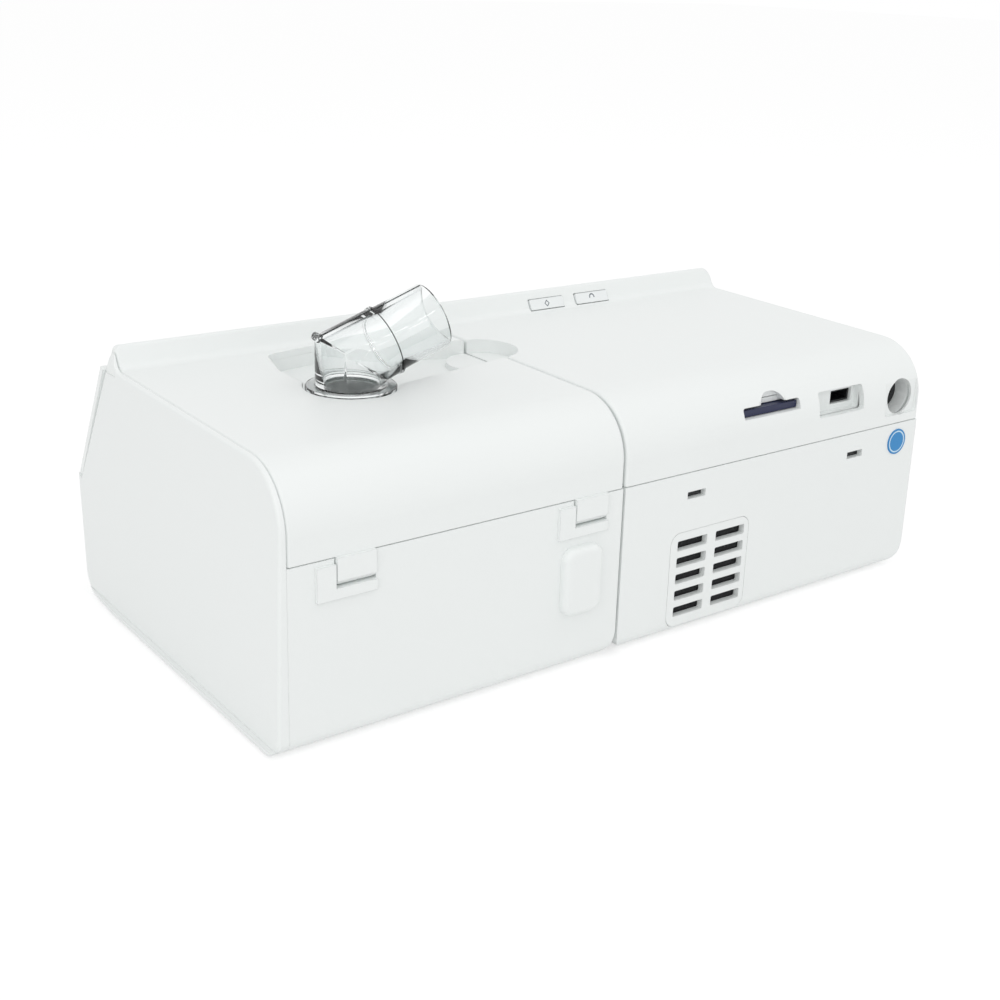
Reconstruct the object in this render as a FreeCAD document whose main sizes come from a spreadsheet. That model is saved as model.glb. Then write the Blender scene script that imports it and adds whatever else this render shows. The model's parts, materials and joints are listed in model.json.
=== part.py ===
import FreeCAD, Part
import os
from types import SimpleNamespace

import Sketcher

# A bedside breathing-air machine in millimetres: the blower unit on the left, the
# water humidifier on the right, seen from its sloping front. The origin is the
# centre of the footprint on the table, X runs along the length, the front faces
# -Y, the ports are in the rear face at +Y and Z is up.

document = FreeCAD.newDocument("breathing_air_machine")
sheet = document.addObject("Spreadsheet::Sheet", "Sizes")

DIMENSIONS = {
    # Overall case: side profile and wall
    "case_length": 265.0,
    "case_depth": 145.0,
    "shell_z": 0.8,
    "top_z": 85.0,
    "ramp_run": 35.0,
    "ramp_z": 86.2,
    "ridge_run": 30.5,
    "ridge_z": 95.4,
    "vertex_z": 41.8,
    "toe_run": 5.0,
    "rear_round": 19.0,
    "bottom_round": 4.3,
    "toe_round": 8.0,
    "toe_slant": 4.5,
    "ramp_round": 4.0,
    "ridge_round": 1.5,
    "crest_round": 8.0,
    "wall": 2.2,
    "margin": 3.0,
    "edge_round": 1.0,
    "part_gap": 0.3,
    "close_fit": 0.1,
    "seam_z": 57.7,
    "seam_gap": 0.3,
    "split_x": 10.4,
    "split_gap": 1.0,
    "end_round": 9.0,
    "split_round": 8.0,
    "inner_round": 7.0,
    "rib_z": 5.7,
    "foot_step": 1.2,
    "sill": 2.0,
    # Front panels
    "panel_thick": 2.0,
    "panel_edge": 0.6,
    "panel_drop": 11.0,
    "window_inset": 10.5,
    "window_beside": 59.9,
    "window_low": 9.0,
    "window_high": 46.0,
    "window_thick": 1.2,
    "window_round": 3.0,
    "display_rim": 3.0,
    "display_thick": 4.0,
    # Rotary control and its encoder
    "knob_beside": 30.9,
    "knob_v": 23.0,
    "knob_radius": 15.0,
    "knob_high": 9.0,
    "knob_round": 2.0,
    "knob_gap": 0.4,
    "knob_sink": 1.4,
    "knob_travel": 0.8,
    "encoder_radius": 3.0,
    "encoder_reach": 7.0,
    "encoder_fit": 0.05,
    "encoder_case": 12.0,
    "encoder_deep": 6.0,
    "home_v": 44.0,
    "home_radius": 4.5,
    "home_high": 1.0,
    "home_stem": 1.6,
    "home_deep": 5.0,
    # Buttons on the crest
    "key_width": 16.0,
    "key_low": 0.6,
    "key_high": 4.8,
    "key_proud": 0.7,
    "key_deep": 2.2,
    "key_travel": 0.8,
    "key_gap": 0.3,
    "start_inset": 89.0,
    "ramp_inset": 66.5,
    "key_round": 0.5,
    "board_thick": 1.6,
    "key_board_high": 3.6,
    "key_board_thick": 0.9,
    # Memory card and its socket
    "card_in": 76.9,
    "card_wide": 26.0,
    "card_long": 32.0,
    "card_thick": 2.4,
    "card_z": 72.7,
    "card_inset": 2.6,
    "slot_wide": 27.0,
    "slot_high": 4.4,
    "slot_round": 1.0,
    "slot_deep": 5.5,
    "notch_beside": 0.8,
    "notch_half": 6.2,
    "notch_top": 78.4,
    "notch_round": 5.4,
    "slot_rim": 3.2,
    "card_fit": 0.3,
    # Communication port
    "comm_in": 30.9,
    "comm_wide": 23.0,
    "comm_low": 66.2,
    "comm_high": 75.0,
    "comm_port_in": 32.6,
    "comm_port_wide": 10.2,
    "comm_port_low": 68.6,
    "comm_port_high": 72.9,
    "comm_shell": 1.0,
    "comm_long": 12.0,
    # Power inlet
    "inlet_in": 10.0,
    "inlet_z": 67.4,
    "inlet_half": 8.6,
    "inlet_tall": 6.4,
    "inlet_step": 1.3,
    "inlet_tube": 9.0,
    "inlet_hole": 6.6,
    "inlet_sink": 8.5,
    "inlet_bore": 4.0,
    "inlet_ring": 6.3,
    "inlet_long": 10.4,
    "inlet_pin": 1.0,
    # Ratchet windows in the rear wall
    "clip_beside": 31.4,
    "clip_in": 33.2,
    "clip_wide": 8.0,
    "clip_low": 48.3,
    "clip_high": 50.8,
    # Air inlet filter
    "grille_wide": 36.0,
    "grille_beside": 21.4,
    "grille_top": 36.9,
    "grille_bottom": 3.2,
    "grille_round": 4.0,
    "grille_gap": 0.1,
    "grille_thick": 2.4,
    "slat_column": 8.8,
    "slat_column_pitch": 17.4,
    "slat_wide": 13.4,
    "slat_high": 3.5,
    "slat_low": 6.7,
    "slat_pitch": 5.95,
    "slat_count": 5.0,
    "slat_round": 0.5,
    "filter_thick": 5.0,
    "filter_edge": 1.6,
    "foam_thick": 22.0,
    # Blower
    "blower_x": 62.0,
    "blower_y": 6.0,
    "blower_radius": 36.0,
    "blower_low": 17.0,
    "blower_split": 31.0,
    "blower_high": 39.0,
    "blower_wall": 2.0,
    "inlet_eye": 12.0,
    "impeller_radius": 28.0,
    "impeller_low": 21.0,
    "impeller_high": 29.0,
    "impeller_disc": 1.6,
    "hub_radius": 6.0,
    "blade_count": 9.0,
    "blade_thick": 1.4,
    "blade_lean": 35.0,
    "shaft_radius": 1.5,
    "shaft_fit": 0.05,
    "motor_radius": 13.0,
    "motor_low": 4.6,
    "mount_radius": 3.5,
    "mount_ring": 30.0,
    "duct_radius": 9.0,
    "duct_wall": 1.6,
    "duct_z": 26.0,
    "seal_wall": 2.0,
    # Control board
    "main_board_z": 46.0,
    "main_board_front": 44.5,
    "main_board_rear": 10.5,
    "main_board_in": 14.5,
    "main_board_beside": 17.9,
    # Case screws
    "tower_in": 6.5,
    "tower_beside": 13.4,
    "tower_front": 36.5,
    "tower_rear": 23.5,
    "tower_radius": 4.0,
    "screw_shank": 1.4,
    "screw_head": 2.7,
    "screw_head_z": 44.0,
    "screw_head_thick": 2.0,
    "screw_clear": 0.3,
    "screw_bite": 8.0,
    "post_sink": 0.6,
    # Feet and label
    "foot_radius": 6.5,
    "foot_thick": 1.7,
    "foot_in": 20.5,
    "foot_beside": 26.0,
    "foot_front": 26.5,
    "foot_rear": 18.5,
    "label_in": 10.5,
    "label_z": 50.5,
    "label_radius": 4.8,
    "label_thick": 0.3,
    # Humidifier case
    "cap_thick": 2.2,
    "cap_lean": 1.4,
    "cap_lip": 3.0,
    "cap_lip_top": 2.2,
    "lip_fade": 25.0,
    "lid_gap": 0.3,
    # Lid hinges
    "hinge_in": 1.5,
    "hinge_z": 52.0,
    "knuckle_radius": 2.6,
    "pin_radius": 1.25,
    "pin_fit": 0.05,
    "pin_hold": 2.4,
    "hinge_outer": 10.9,
    "hinge_inner": 26.0,
    "hinge_block": 6.1,
    "hinge_knuckle": 12.7,
    "hinge_side_gap": 0.35,
    "hinge_pocket_z": 48.8,
    "hinge_pocket_deep": 6.0,
    "hinge_proud": 1.2,
    "hinge_block_low": 45.6,
    "hinge_block_high": 56.0,
    "tab_thick": 2.0,
    "tab_low": 49.4,
    "tab_round": 1.4,
    "tab_edge": 1.6,
    # Outlet elbow and its recess in the lid
    "elbow_in": 58.5,
    "elbow_front": 60.5,
    "flange_radius": 14.6,
    "flange_low": 84.5,
    "flange_thick": 1.6,
    "riser_radius": 11.4,
    "elbow_wall": 1.8,
    "bend_z": 94.5,
    "spout_rise": 21.0,
    "spout_turn": 5.0,
    "spout_ring": 12.6,
    "spout_long": 31.0,
    "cuff_radius": 11.0,
    "spigot_radius": 10.2,
    "spigot_low": 72.0,
    "spigot_fit": 0.06,
    "port_radius": 14.4,
    "port_top": 82.8,
    "port_bottom": 66.0,
    "seal_thick": 1.3,
    "seal_inner": 11.0,
    "dish_floor": 79.5,
    "dish_gap": 0.8,
    "dish_side": 11.6,
    "dish_side_front": 23.5,
    "dish_side_round": 8.0,
    "dish_tip": 6.5,
    "dish_tip_front": 5.5,
    "dish_tip_round": 4.0,
    "dish_far": 14.0,
    "dish_far_front": 2.1,
    "dish_far_round": 10.0,
    "dish_near_rear": 6.6,
    "lobe_in": 1.1,
    "lobe_front": 15.6,
    "lobe_radius": 12.5,
    "lobe_floor": 81.2,
    # Water tank, heater and electronics of the humidifier
    "tank_left": 6.1,
    "tank_right": 8.5,
    "tank_front": 22.5,
    "tank_rear": 10.5,
    "tank_low": 12.8,
    "tank_high": 52.0,
    "tank_wall": 1.8,
    "tank_round": 12.0,
    "tank_lid_thick": 2.0,
    "seal_high": 1.6,
    "heater_edge": 14.0,
    "heater_low": 10.0,
    "heater_thick": 2.4,
    "gasket_thick": 1.5,
    "neck_radius": 13.0,
    "channel_wide": 12.0,
    "channel_high": 46.0,
    "neck_wall": 1.8,
    # Accessory port and its cover
    "plug_in": 8.7,
    "plug_wide": 15.4,
    "plug_low": 19.4,
    "plug_high": 42.2,
    "plug_proud": 3.0,
    "plug_round": 4.0,
    "plug_edge": 2.0,
    "plug_shank": 5.0,
    "plug_shank_edge": 4.2,
    "plug_gap": 0.3,
    "socket_long": 8.0,
    # Lid release button
    "release_in": 61.5,
    "release_v": 43.0,
    "release_wide": 24.0,
    "release_high": 9.0,
    "release_round": 3.0,
    "release_proud": 0.6,
    "release_gap": 0.3,
}

for row, (alias, number) in enumerate(DIMENSIONS.items(), start=1):
    sheet.set(f"A{row}", alias)
    sheet.set(f"B{row}", str(number))
    sheet.setAlias(f"B{row}", alias)
document.recompute()


class Size:
    """A length with its number for drawing and its sheet formula for binding."""

    def __init__(self, value, text):
        self.value = float(value)
        self.text = text

    def combine(self, other, sign, result):
        return Size(result, f"({self.text} {sign} {as_size(other).text})")

    def __add__(self, other):
        return self.combine(other, "+", self.value + as_size(other).value)

    def __sub__(self, other):
        return self.combine(other, "-", self.value - as_size(other).value)

    def __mul__(self, other):
        return self.combine(other, "*", self.value * as_size(other).value)

    def __truediv__(self, other):
        return self.combine(other, "/", self.value / as_size(other).value)

    def __neg__(self):
        return Size(-self.value, f"(-1 * {self.text})")


def as_size(number):
    return number if isinstance(number, Size) else Size(number, repr(float(number)))


def root(size):
    return Size(size.value ** 0.5, f"sqrt({size.text})")


s = SimpleNamespace(**{alias: Size(sheet.get(alias), f"Sizes.{alias}") for alias in DIMENSIONS})
ZERO = as_size(0)


def bind(item, field, size):
    """Set a property to a size, as a formula of the sheet where it has one."""
    if "Sizes." in size.text:
        item.setExpression(field, size.text)


# ---------------------------------------------------------------- drawing helpers

def new_body(label):
    body = document.addObject("PartDesign::Body", label)
    body.Label = label
    return body


def origin_plane(body, role):
    return next(plane for plane in body.Origin.OriginFeatures if plane.Role == role)


def new_sketch(body, plane, level):
    sketch = body.newObject("Sketcher::SketchObject", f"{body.Name}_sketch")
    sketch.AttachmentSupport = (origin_plane(body, f"{plane}_Plane"), [""])
    sketch.MapMode = "FlatFace"
    bind(sketch, "AttachmentOffset.Base.z", level)
    return sketch


def pin_point(sketch, geometry, position, u, v):
    """Hold one sketch point at the coordinates u and v."""
    for kind, size in (("DistanceX", u), ("DistanceY", v)):
        index = sketch.addConstraint(Sketcher.Constraint(kind, geometry, position, size.value))
        bind(sketch, f"Constraints[{index}]", size)


def draw_circle(sketch, u, v, radius):
    centre = FreeCAD.Vector(u.value, v.value, 0)
    circle = sketch.addGeometry(Part.Circle(centre, FreeCAD.Vector(0, 0, 1), radius.value))
    pin_point(sketch, circle, 3, u, v)
    index = sketch.addConstraint(Sketcher.Constraint("Radius", circle, radius.value))
    bind(sketch, f"Constraints[{index}]", radius)


def draw_outline(sketch, corners):
    """Draw a closed outline of straight sides; a corner's third size rounds it."""
    points = [FreeCAD.Vector(corner[0].value, corner[1].value, 0) for corner in corners]
    count = len(points)
    tangents = []
    for index, corner in enumerate(corners):
        back = (points[index - 1] - points[index]).normalize()
        ahead = (points[(index + 1) % count] - points[index]).normalize()
        reach = 0.0
        if len(corner) == 3:
            half_turn = back.getAngle(ahead) / 2
            cosine = back.dot(ahead)
            reach = corner[2].value * ((1 + cosine) / (1 - cosine)) ** 0.5
            middle = (back + ahead).normalize()
            height = (corner[2].value ** 2 + reach ** 2) ** 0.5
            centre = points[index] + middle * height
        else:
            centre = None
        tangents.append((points[index] + back * reach, points[index] + ahead * reach, centre))
    lines = []
    for index in range(count):
        start = tangents[index][1]
        end = tangents[(index + 1) % count][0]
        lines.append(sketch.addGeometry(Part.LineSegment(start, end)))
    for index, corner in enumerate(corners):
        before = lines[index - 1]
        after = lines[index]
        if len(corner) == 2:
            sketch.addConstraint(Sketcher.Constraint("Coincident", before, 2, after, 1))
            pin_point(sketch, after, 1, corner[0], corner[1])
            continue
        enter, leave, centre = tangents[index]
        turn = (enter - centre).cross(leave - centre).z
        first, last = (enter, leave) if turn > 0 else (leave, enter)
        circle = Part.Circle(centre, FreeCAD.Vector(0, 0, 1), corner[2].value)
        arc = sketch.addGeometry(Part.ArcOfCircle(circle, circle.parameter(first), circle.parameter(last)))
        ends = (1, 2) if turn > 0 else (2, 1)
        sketch.addConstraint(Sketcher.Constraint("Tangent", before, 2, arc, ends[0]))
        sketch.addConstraint(Sketcher.Constraint("Tangent", after, 1, arc, ends[1]))
        radius = sketch.addConstraint(Sketcher.Constraint("Radius", arc, corner[2].value))
        bind(sketch, f"Constraints[{radius}]", corner[2])
        vertex = sketch.addGeometry(Part.Point(points[index]), True)
        pin_point(sketch, vertex, 1, corner[0], corner[1])
        sketch.addConstraint(Sketcher.Constraint("PointOnObject", vertex, 1, before))
        sketch.addConstraint(Sketcher.Constraint("PointOnObject", vertex, 1, after))


def sweep(body, kind, plane, low, high, drawing):
    """Pad or pocket a drawing of the plane between two places on the plane's axis."""
    level = -high if plane == "XZ" else low
    sketch = new_sketch(body, plane, level)
    if isinstance(drawing, tuple):
        draw_circle(sketch, *drawing)
    else:
        draw_outline(sketch, drawing)
    feature = body.newObject(f"PartDesign::{kind}", f"{body.Name}_{kind.lower()}")
    feature.Profile = (sketch, [""])
    bind(feature, "Length", high - low)
    feature.Reversed = kind == "Pocket"
    sketch.Visibility = False
    return feature


def pad(body, plane, low, high, drawing):
    return sweep(body, "Pad", plane, low, high, drawing)


def pocket(body, plane, low, high, drawing):
    """Cut a drawing out of the body, and make sure that the cut removes material."""
    document.recompute()
    before = body.Shape.Volume
    feature = sweep(body, "Pocket", plane, low, high, drawing)
    document.recompute()
    if not body.Shape.Volume < before:
        raise ValueError(f"a pocket of {body.Label} cuts nothing")
    return feature


def round_edges(body, radius, chosen):
    """Round the body's edges that the test chosen picks."""
    document.recompute()
    rough = body.Tip
    names = [f"Edge{number}" for number, edge in enumerate(rough.Shape.Edges, start=1) if chosen(edge)]
    if not names:
        raise ValueError(f"no edge of {body.Label} to round")
    feature = body.newObject("PartDesign::Fillet", f"{body.Name}_fillet")
    feature.Base = (rough, names)
    bind(feature, "Radius", radius)
    return feature


def rectangle(u_low, u_high, v_low, v_high, radius=None):
    corners = [(u_low, v_low), (u_high, v_low), (u_high, v_high), (u_low, v_high)]
    return corners if radius is None else [corner + (radius,) for corner in corners]


def near(value, size):
    return abs(value - size.value) < 0.01


def lies_at(edge, **places):
    """Whether every end of an edge lies at the given x, y or z."""
    return all(near(getattr(vertex.Point, axis), place)
               for vertex in edge.Vertexes for axis, place in places.items())


def place(item, x, y, z):
    for axis, size in zip("xyz", (x, y, z)):
        bind(item, f"Placement.Base.{axis}", size)


def box(label, x, y, z):
    item = document.addObject("Part::Box", label)
    item.Label = label
    for field, span in zip(("Length", "Width", "Height"), (x, y, z)):
        bind(item, field, span[1] - span[0])
    place(item, x[0], y[0], z[0])
    return item


TURNS = {
    "X": FreeCAD.Rotation(FreeCAD.Vector(0, 1, 0), 90),
    "Y": FreeCAD.Rotation(FreeCAD.Vector(1, 0, 0), -90),
    "Z": FreeCAD.Rotation(),
}


def cylinder(label, axis, x, y, z, radius):
    """A cylinder along an axis, whose place on that axis is a low and high pair."""
    item = document.addObject("Part::Cylinder", label)
    item.Label = label
    item.Placement.Rotation = TURNS[axis]
    spans = {"X": x, "Y": y, "Z": z}
    low, high = spans[axis]
    bind(item, "Radius", radius)
    bind(item, "Height", high - low)
    spans[axis] = low
    place(item, spans["X"], spans["Y"], spans["Z"])
    return item


def cut(label, base, tool):
    item = document.addObject("Part::Cut", label)
    item.Label = label
    item.Base = base
    item.Tool = tool
    return item


def fuse(label, items):
    item = document.addObject("Part::MultiFuse", label)
    item.Label = label
    item.Shapes = items
    item.Refine = True
    return item


def group(label, items):
    item = document.addObject("Part::Compound", label)
    item.Label = label
    item.Links = items
    return item


def ring(label, axis, x, y, z, outer, inner):
    blank = cylinder(f"{label}_blank", axis, x, y, z, outer)
    bore = cylinder(f"{label}_bore", axis, x, y, z, inner)
    return cut(label, blank, bore)


subparts = []


def keep(item):
    subparts.append(item)
    return item


# ---------------------------------------------------------------- shared places

left_x = -s.case_length / 2
right_x = s.case_length / 2
rear_y = s.case_depth / 2
front_y = -s.case_depth / 2
rear_out = rear_y + s.margin
front_out = front_y - s.margin
below = s.shell_z - s.margin
above = s.ridge_z + s.margin
seam_low = s.seam_z - s.seam_gap / 2
seam_high = s.seam_z + s.seam_gap / 2
main_right = s.split_x - s.split_gap / 2
humid_left = s.split_x + s.split_gap / 2
cap_left = right_x - s.cap_thick
humid_right = cap_left - s.lid_gap
floor_z = s.shell_z + s.wall

# The toe, the ramp's foot and the ridge keep their distance from the front, the knob,
# grille and inner screws theirs from the split, and the rest theirs from an end.
toe_y = front_y + s.toe_run
ramp_y = front_y + s.ramp_run
ridge_y = front_y + s.ridge_run
knob_x = main_right - s.knob_beside
card_x = left_x + s.card_in
inlet_x = left_x + s.inlet_in
grille_right = main_right - s.grille_beside
grille_left = grille_right - s.grille_wide
clip_centres = (main_right - s.clip_beside, left_x + s.clip_in)
hinge_y = rear_y - s.hinge_in
elbow_x = right_x - s.elbow_in
elbow_y = rear_y - s.elbow_front

# The sloping front runs from the vertex up to the ridge.
slope_y = ridge_y - front_y
slope_z = s.ridge_z - s.vertex_z
slope_long = root(slope_y * slope_y + slope_z * slope_z)
behind_panel = s.panel_thick + s.close_fit


def meet(a, b, c, d):
    """The point where the line through a and b meets the line through c and d."""
    along = (b[0] - a[0], b[1] - a[1])
    other = (d[0] - c[0], d[1] - c[1])
    turn = along[0] * other[1] - along[1] * other[0]
    share = ((c[0] - a[0]) * other[1] - (c[1] - a[1]) * other[0]) / turn
    return (a[0] + along[0] * share, a[1] + along[1] * share)


def behind_slope(y, z, depth):
    """A point of the sloping front, moved into the case by a depth."""
    return (y + depth * slope_z / slope_long, z - depth * slope_y / slope_long)


slope_bottom = behind_slope(front_y, s.vertex_z, behind_panel)
slope_top = behind_slope(ridge_y, s.ridge_z, behind_panel)
ramp_foot = (ramp_y, s.ramp_z)
ridge = (ridge_y, s.ridge_z)
vertex = (front_y, s.vertex_z)
toe = (toe_y, s.shell_z)
shell_ridge = meet(slope_bottom, slope_top, ramp_foot, ridge)
seam_front = meet(slope_bottom, slope_top, (front_y, seam_high), (rear_y, seam_high))
sill_front = meet(slope_bottom, slope_top, (front_y, seam_low), (rear_y, seam_low))

# The front panels stop short of the ridge: above them the covers themselves roll over it.
panel_low = s.panel_edge
panel_high = slope_long - s.panel_drop
crest_share = (panel_high + s.part_gap) / slope_long
crest_front = (front_y + slope_y * crest_share, s.vertex_z + slope_z * crest_share)
crest_step = behind_slope(*crest_front, behind_panel)

UPPER_OUTSIDE = [
    (rear_y, seam_high),
    (rear_y, s.top_z, s.rear_round),
    ramp_foot + (s.ramp_round,),
    ridge + (s.ridge_round,),
    crest_front,
    crest_step,
    seam_front,
]
inner_rear_y = rear_y - s.wall
UPPER_INSIDE = [
    (inner_rear_y, seam_high - s.margin),
    (inner_rear_y, s.top_z - s.wall, s.rear_round - s.wall),
    (ramp_y - s.foot_step, s.ramp_z - s.wall),
    (shell_ridge[0] - s.part_gap, s.ridge_z - s.rib_z),
    (crest_step[0] + s.wall, s.ridge_z - s.rib_z),
    (crest_step[0] + s.wall, crest_step[1] - s.wall),
    (front_out, crest_step[1] - s.wall),
    (front_out, seam_high - s.margin),
]
LOWER_OUTSIDE = [
    toe + (s.toe_round,),
    (rear_y, s.shell_z, s.bottom_round),
    (rear_y, seam_low),
    sill_front,
    slope_bottom,
    vertex,
]
LOWER_INSIDE = [
    (toe_y + s.wall, floor_z + s.toe_slant),
    (toe_y + s.wall + s.toe_slant, floor_z),
    (inner_rear_y, floor_z),
    (inner_rear_y, seam_low + s.margin),
    (front_out, seam_low + s.margin),
    (front_out, slope_bottom[1] + s.sill),
    (slope_bottom[0] + s.wall, slope_bottom[1] + s.sill),
]


def trim_bottom_corner(body, x, side, radius):
    """Cut the lower corner of a case end round; side is 1 at a right end, -1 at a left."""
    tall = s.shell_z + radius + s.margin
    inward = x - radius * side - s.margin * side
    outward = x + s.margin * side
    pocket(body, "XZ", front_out, rear_out, [
        (outward, below),
        (inward, below),
        (inward, s.shell_z),
        (x, s.shell_z, radius),
        (x, tall),
        (outward, tall),
    ])


def trim_crest_corner(body, x, side):
    """Round the outer corner of the crest; side is 1 at a right end, -1 at a left."""
    reach = s.crest_round + s.margin
    inward = x - reach * side
    outward = x + s.margin * side
    pocket(body, "XZ", front_out, ramp_y, [
        (outward, above),
        (inward, above),
        (inward, s.ridge_z),
        (x, s.ridge_z, s.crest_round),
        (x, s.ridge_z - reach),
        (outward, s.ridge_z - reach),
    ])


def slope_body(label):
    """A body drawn on the sloping front: x, then the way up the slope, then outwards."""
    body = new_body(label)
    body.Placement.Rotation = FreeCAD.Rotation(FreeCAD.Vector(1, 0, 0), 60)
    bind(body, "Placement.Rotation.Angle", Size(0, f"atan2({slope_z.text}; {slope_y.text})"))
    place(body, ZERO, front_y, s.vertex_z)
    return body


def is_roof_end(edge, *ends):
    """Whether an edge borders the end of a roof, from the seam up to the crest."""
    return (any(lies_at(edge, x=end) for end in ends)
            and edge.BoundBox.ZMax > s.seam_z.value + s.margin.value
            and edge.BoundBox.YMax > ramp_y.value)


# ---------------------------------------------------------------- main unit shells

start_x = left_x + s.start_inset
ramp_x = left_x + s.ramp_inset
key_centres = {"start_button": start_x, "ramp_button": ramp_x}
ramp_long = root((ramp_y - ridge_y) * (ramp_y - ridge_y)
                 + (s.ridge_z - s.ramp_z) * (s.ridge_z - s.ramp_z))
ramp_up = ((ridge_y - ramp_y) / ramp_long, (s.ridge_z - s.ramp_z) / ramp_long)


def on_ramp(way, depth):
    """A point of the crest's ramp, a way up from its foot and a depth into the case."""
    return (ramp_y + ramp_up[0] * way - ramp_up[1] * depth,
            s.ramp_z + ramp_up[1] * way + ramp_up[0] * depth)


def key_outline(gap, proud, deep):
    low = s.key_low - gap
    high = s.key_high + gap
    return [on_ramp(low, deep), on_ramp(low, -proud), on_ramp(high, -proud), on_ramp(high, deep)]


# The recess beside the elbow is sunk into the lid and runs on into the main cover.
lobe_x = humid_left + s.lobe_in
lobe_y = elbow_y - s.lobe_front
dish_side_x = elbow_x + s.dish_side
dish_far_x = elbow_x - s.dish_far
dish_radius = s.flange_radius + s.dish_gap


def dish_outline(edge):
    """The recess that a hose cuff sweeps on the lid as the elbow turns."""
    return [
        (dish_side_x + edge, elbow_y),
        (dish_far_x + edge, elbow_y + s.dish_near_rear + edge),
        (lobe_x, lobe_y + s.lobe_radius + edge),
        (lobe_x, lobe_y - s.lobe_radius - edge),
        (dish_far_x, ramp_y + s.dish_far_front - edge, s.dish_far_round),
        (elbow_x + s.dish_tip + edge, ramp_y + s.dish_tip_front - edge, s.dish_tip_round),
        (dish_side_x + edge, ramp_y + s.dish_side_front, s.dish_side_round),
    ]


def sink_dish(body, far_x, side_x):
    """Sink the recess into a roof, and keep the body on its own side of the split."""
    outlines = [dish_outline, lambda edge: (elbow_x, elbow_y, dish_radius + edge),
                lambda edge: (lobe_x, lobe_y, s.lobe_radius + edge)]
    for outline in outlines:
        pad(body, "XY", bowl_low, roof_low, outline(s.wall))
    for outline in outlines:
        pocket(body, "XY", s.dish_floor, above, outline(ZERO))
    pad(body, "XY", bowl_low, s.lobe_floor, outlines[-1](ZERO))
    across = sorted((far_x, side_x), key=lambda size: size.value)
    pocket(body, "XY", bowl_low - s.margin, above, rectangle(*across, front_out, rear_out))


roof_low = s.top_z - s.wall / 2
bowl_low = s.dish_floor - s.wall
dish_left = lobe_x - s.lobe_radius - s.wall - s.margin
dish_right = elbow_x + dish_radius + s.wall + s.margin

board_near = s.key_deep + s.key_travel + s.part_gap
slot_left = card_x - s.slot_wide / 2
slot_right = card_x + s.slot_wide / 2
slot_floor = s.card_z - s.card_thick / 2 - s.card_fit
slot_roof = s.card_z + s.slot_high / 2

main_top_cover = new_body("main_top_cover")
pad(main_top_cover, "YZ", left_x, main_right, UPPER_OUTSIDE)
round_edges(main_top_cover, s.edge_round, lambda edge: is_roof_end(edge, left_x, main_right))
pocket(main_top_cover, "YZ", left_x + s.wall, main_right - s.wall, UPPER_INSIDE)
trim_crest_corner(main_top_cover, left_x, as_size(-1))
sink_dish(main_top_cover, dish_right, main_right)
for centre in key_centres.values():
    half = s.key_width / 2 + s.key_gap
    pocket(main_top_cover, "YZ", centre - half, centre + half,
           key_outline(s.key_gap, s.margin, board_near))

# A boss between the two keys carries their board.
boss_edge = s.key_width / 2 + s.key_gap + s.part_gap
pad(main_top_cover, "YZ", ramp_x + boss_edge, start_x - boss_edge, [
    on_ramp(s.key_low, board_near), on_ramp(s.key_low, s.wall / 2),
    on_ramp(s.key_board_high, s.wall / 2), on_ramp(s.key_board_high, board_near)])

port_floor = rear_y - s.slot_deep
card_span = (card_x - s.card_wide / 2, card_x + s.card_wide / 2,
             s.card_z - s.card_thick / 2, s.card_z + s.card_thick / 2)
comm_left = left_x + s.comm_in
comm_port_left = left_x + s.comm_port_in
comm_span = (comm_port_left, comm_port_left + s.comm_port_wide, s.comm_port_low, s.comm_port_high)


def widen(span, edge):
    return (span[0] - edge, span[1] + edge, span[2] - edge, span[3] + edge)


notch_x = card_x - s.notch_beside

# Each port has a moulded recess: a block behind the wall, hollowed to a floor, with a hole
# through what is left. The power inlet's recess is a shallow step around a round tube.
port_recesses = [
    ((slot_left, slot_right, slot_floor, slot_roof), port_floor, s.wall,
     rectangle(*widen(card_span, s.card_fit))),
    ((comm_left, comm_left + s.comm_wide, s.comm_low, s.comm_high), port_floor, s.wall,
     rectangle(*widen(comm_span, s.card_fit))),
    ((inlet_x - s.inlet_half, inlet_x + s.inlet_half,
      s.inlet_z - s.inlet_tall, s.inlet_z + s.inlet_tall), rear_y - s.inlet_step, s.inlet_tube,
     (inlet_x, s.inlet_z, s.inlet_hole)),
]
for span, floor, behind, hole in port_recesses:
    pad(main_top_cover, "XZ", floor - behind, rear_y - s.slot_rim, rectangle(*widen(span, s.wall / 2)))
    pocket(main_top_cover, "XZ", floor, rear_out, rectangle(*span, s.slot_round))
    pocket(main_top_cover, "XZ", floor - behind - s.margin, rear_out, hole)
pocket(main_top_cover, "XZ", port_floor, rear_out, rectangle(
    notch_x - s.notch_half, notch_x + s.notch_half, slot_floor, s.notch_top, s.notch_round))
keep(main_top_cover)

main_base_housing = new_body("main_base_housing")
pad(main_base_housing, "YZ", left_x, main_right, LOWER_OUTSIDE)
pocket(main_base_housing, "YZ", left_x + s.wall, main_right - s.wall, LOWER_INSIDE)
round_edges(main_base_housing, s.inner_round,
            lambda edge: lies_at(edge, x=left_x + s.wall, z=floor_z))
trim_bottom_corner(main_base_housing, left_x, as_size(-1), s.end_round)
trim_bottom_corner(main_base_housing, main_right, as_size(1), s.bottom_round)
pocket(main_base_housing, "XZ", inner_rear_y - s.margin, rear_out,
       rectangle(grille_left - s.grille_gap, grille_right + s.grille_gap,
                 s.grille_bottom - s.grille_gap, s.grille_top + s.grille_gap, s.grille_round))
for centre in clip_centres:
    pocket(main_base_housing, "XZ", inner_rear_y - s.margin, rear_out,
           rectangle(centre - s.clip_wide / 2, centre + s.clip_wide / 2, s.clip_low, s.clip_high))
duct_y = -s.blower_y
duct_hole = (duct_y, s.duct_z, s.duct_radius + s.duct_wall + s.seal_wall)
pocket(main_base_housing, "YZ", main_right - s.wall - s.margin, main_right + s.margin, duct_hole)

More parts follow.
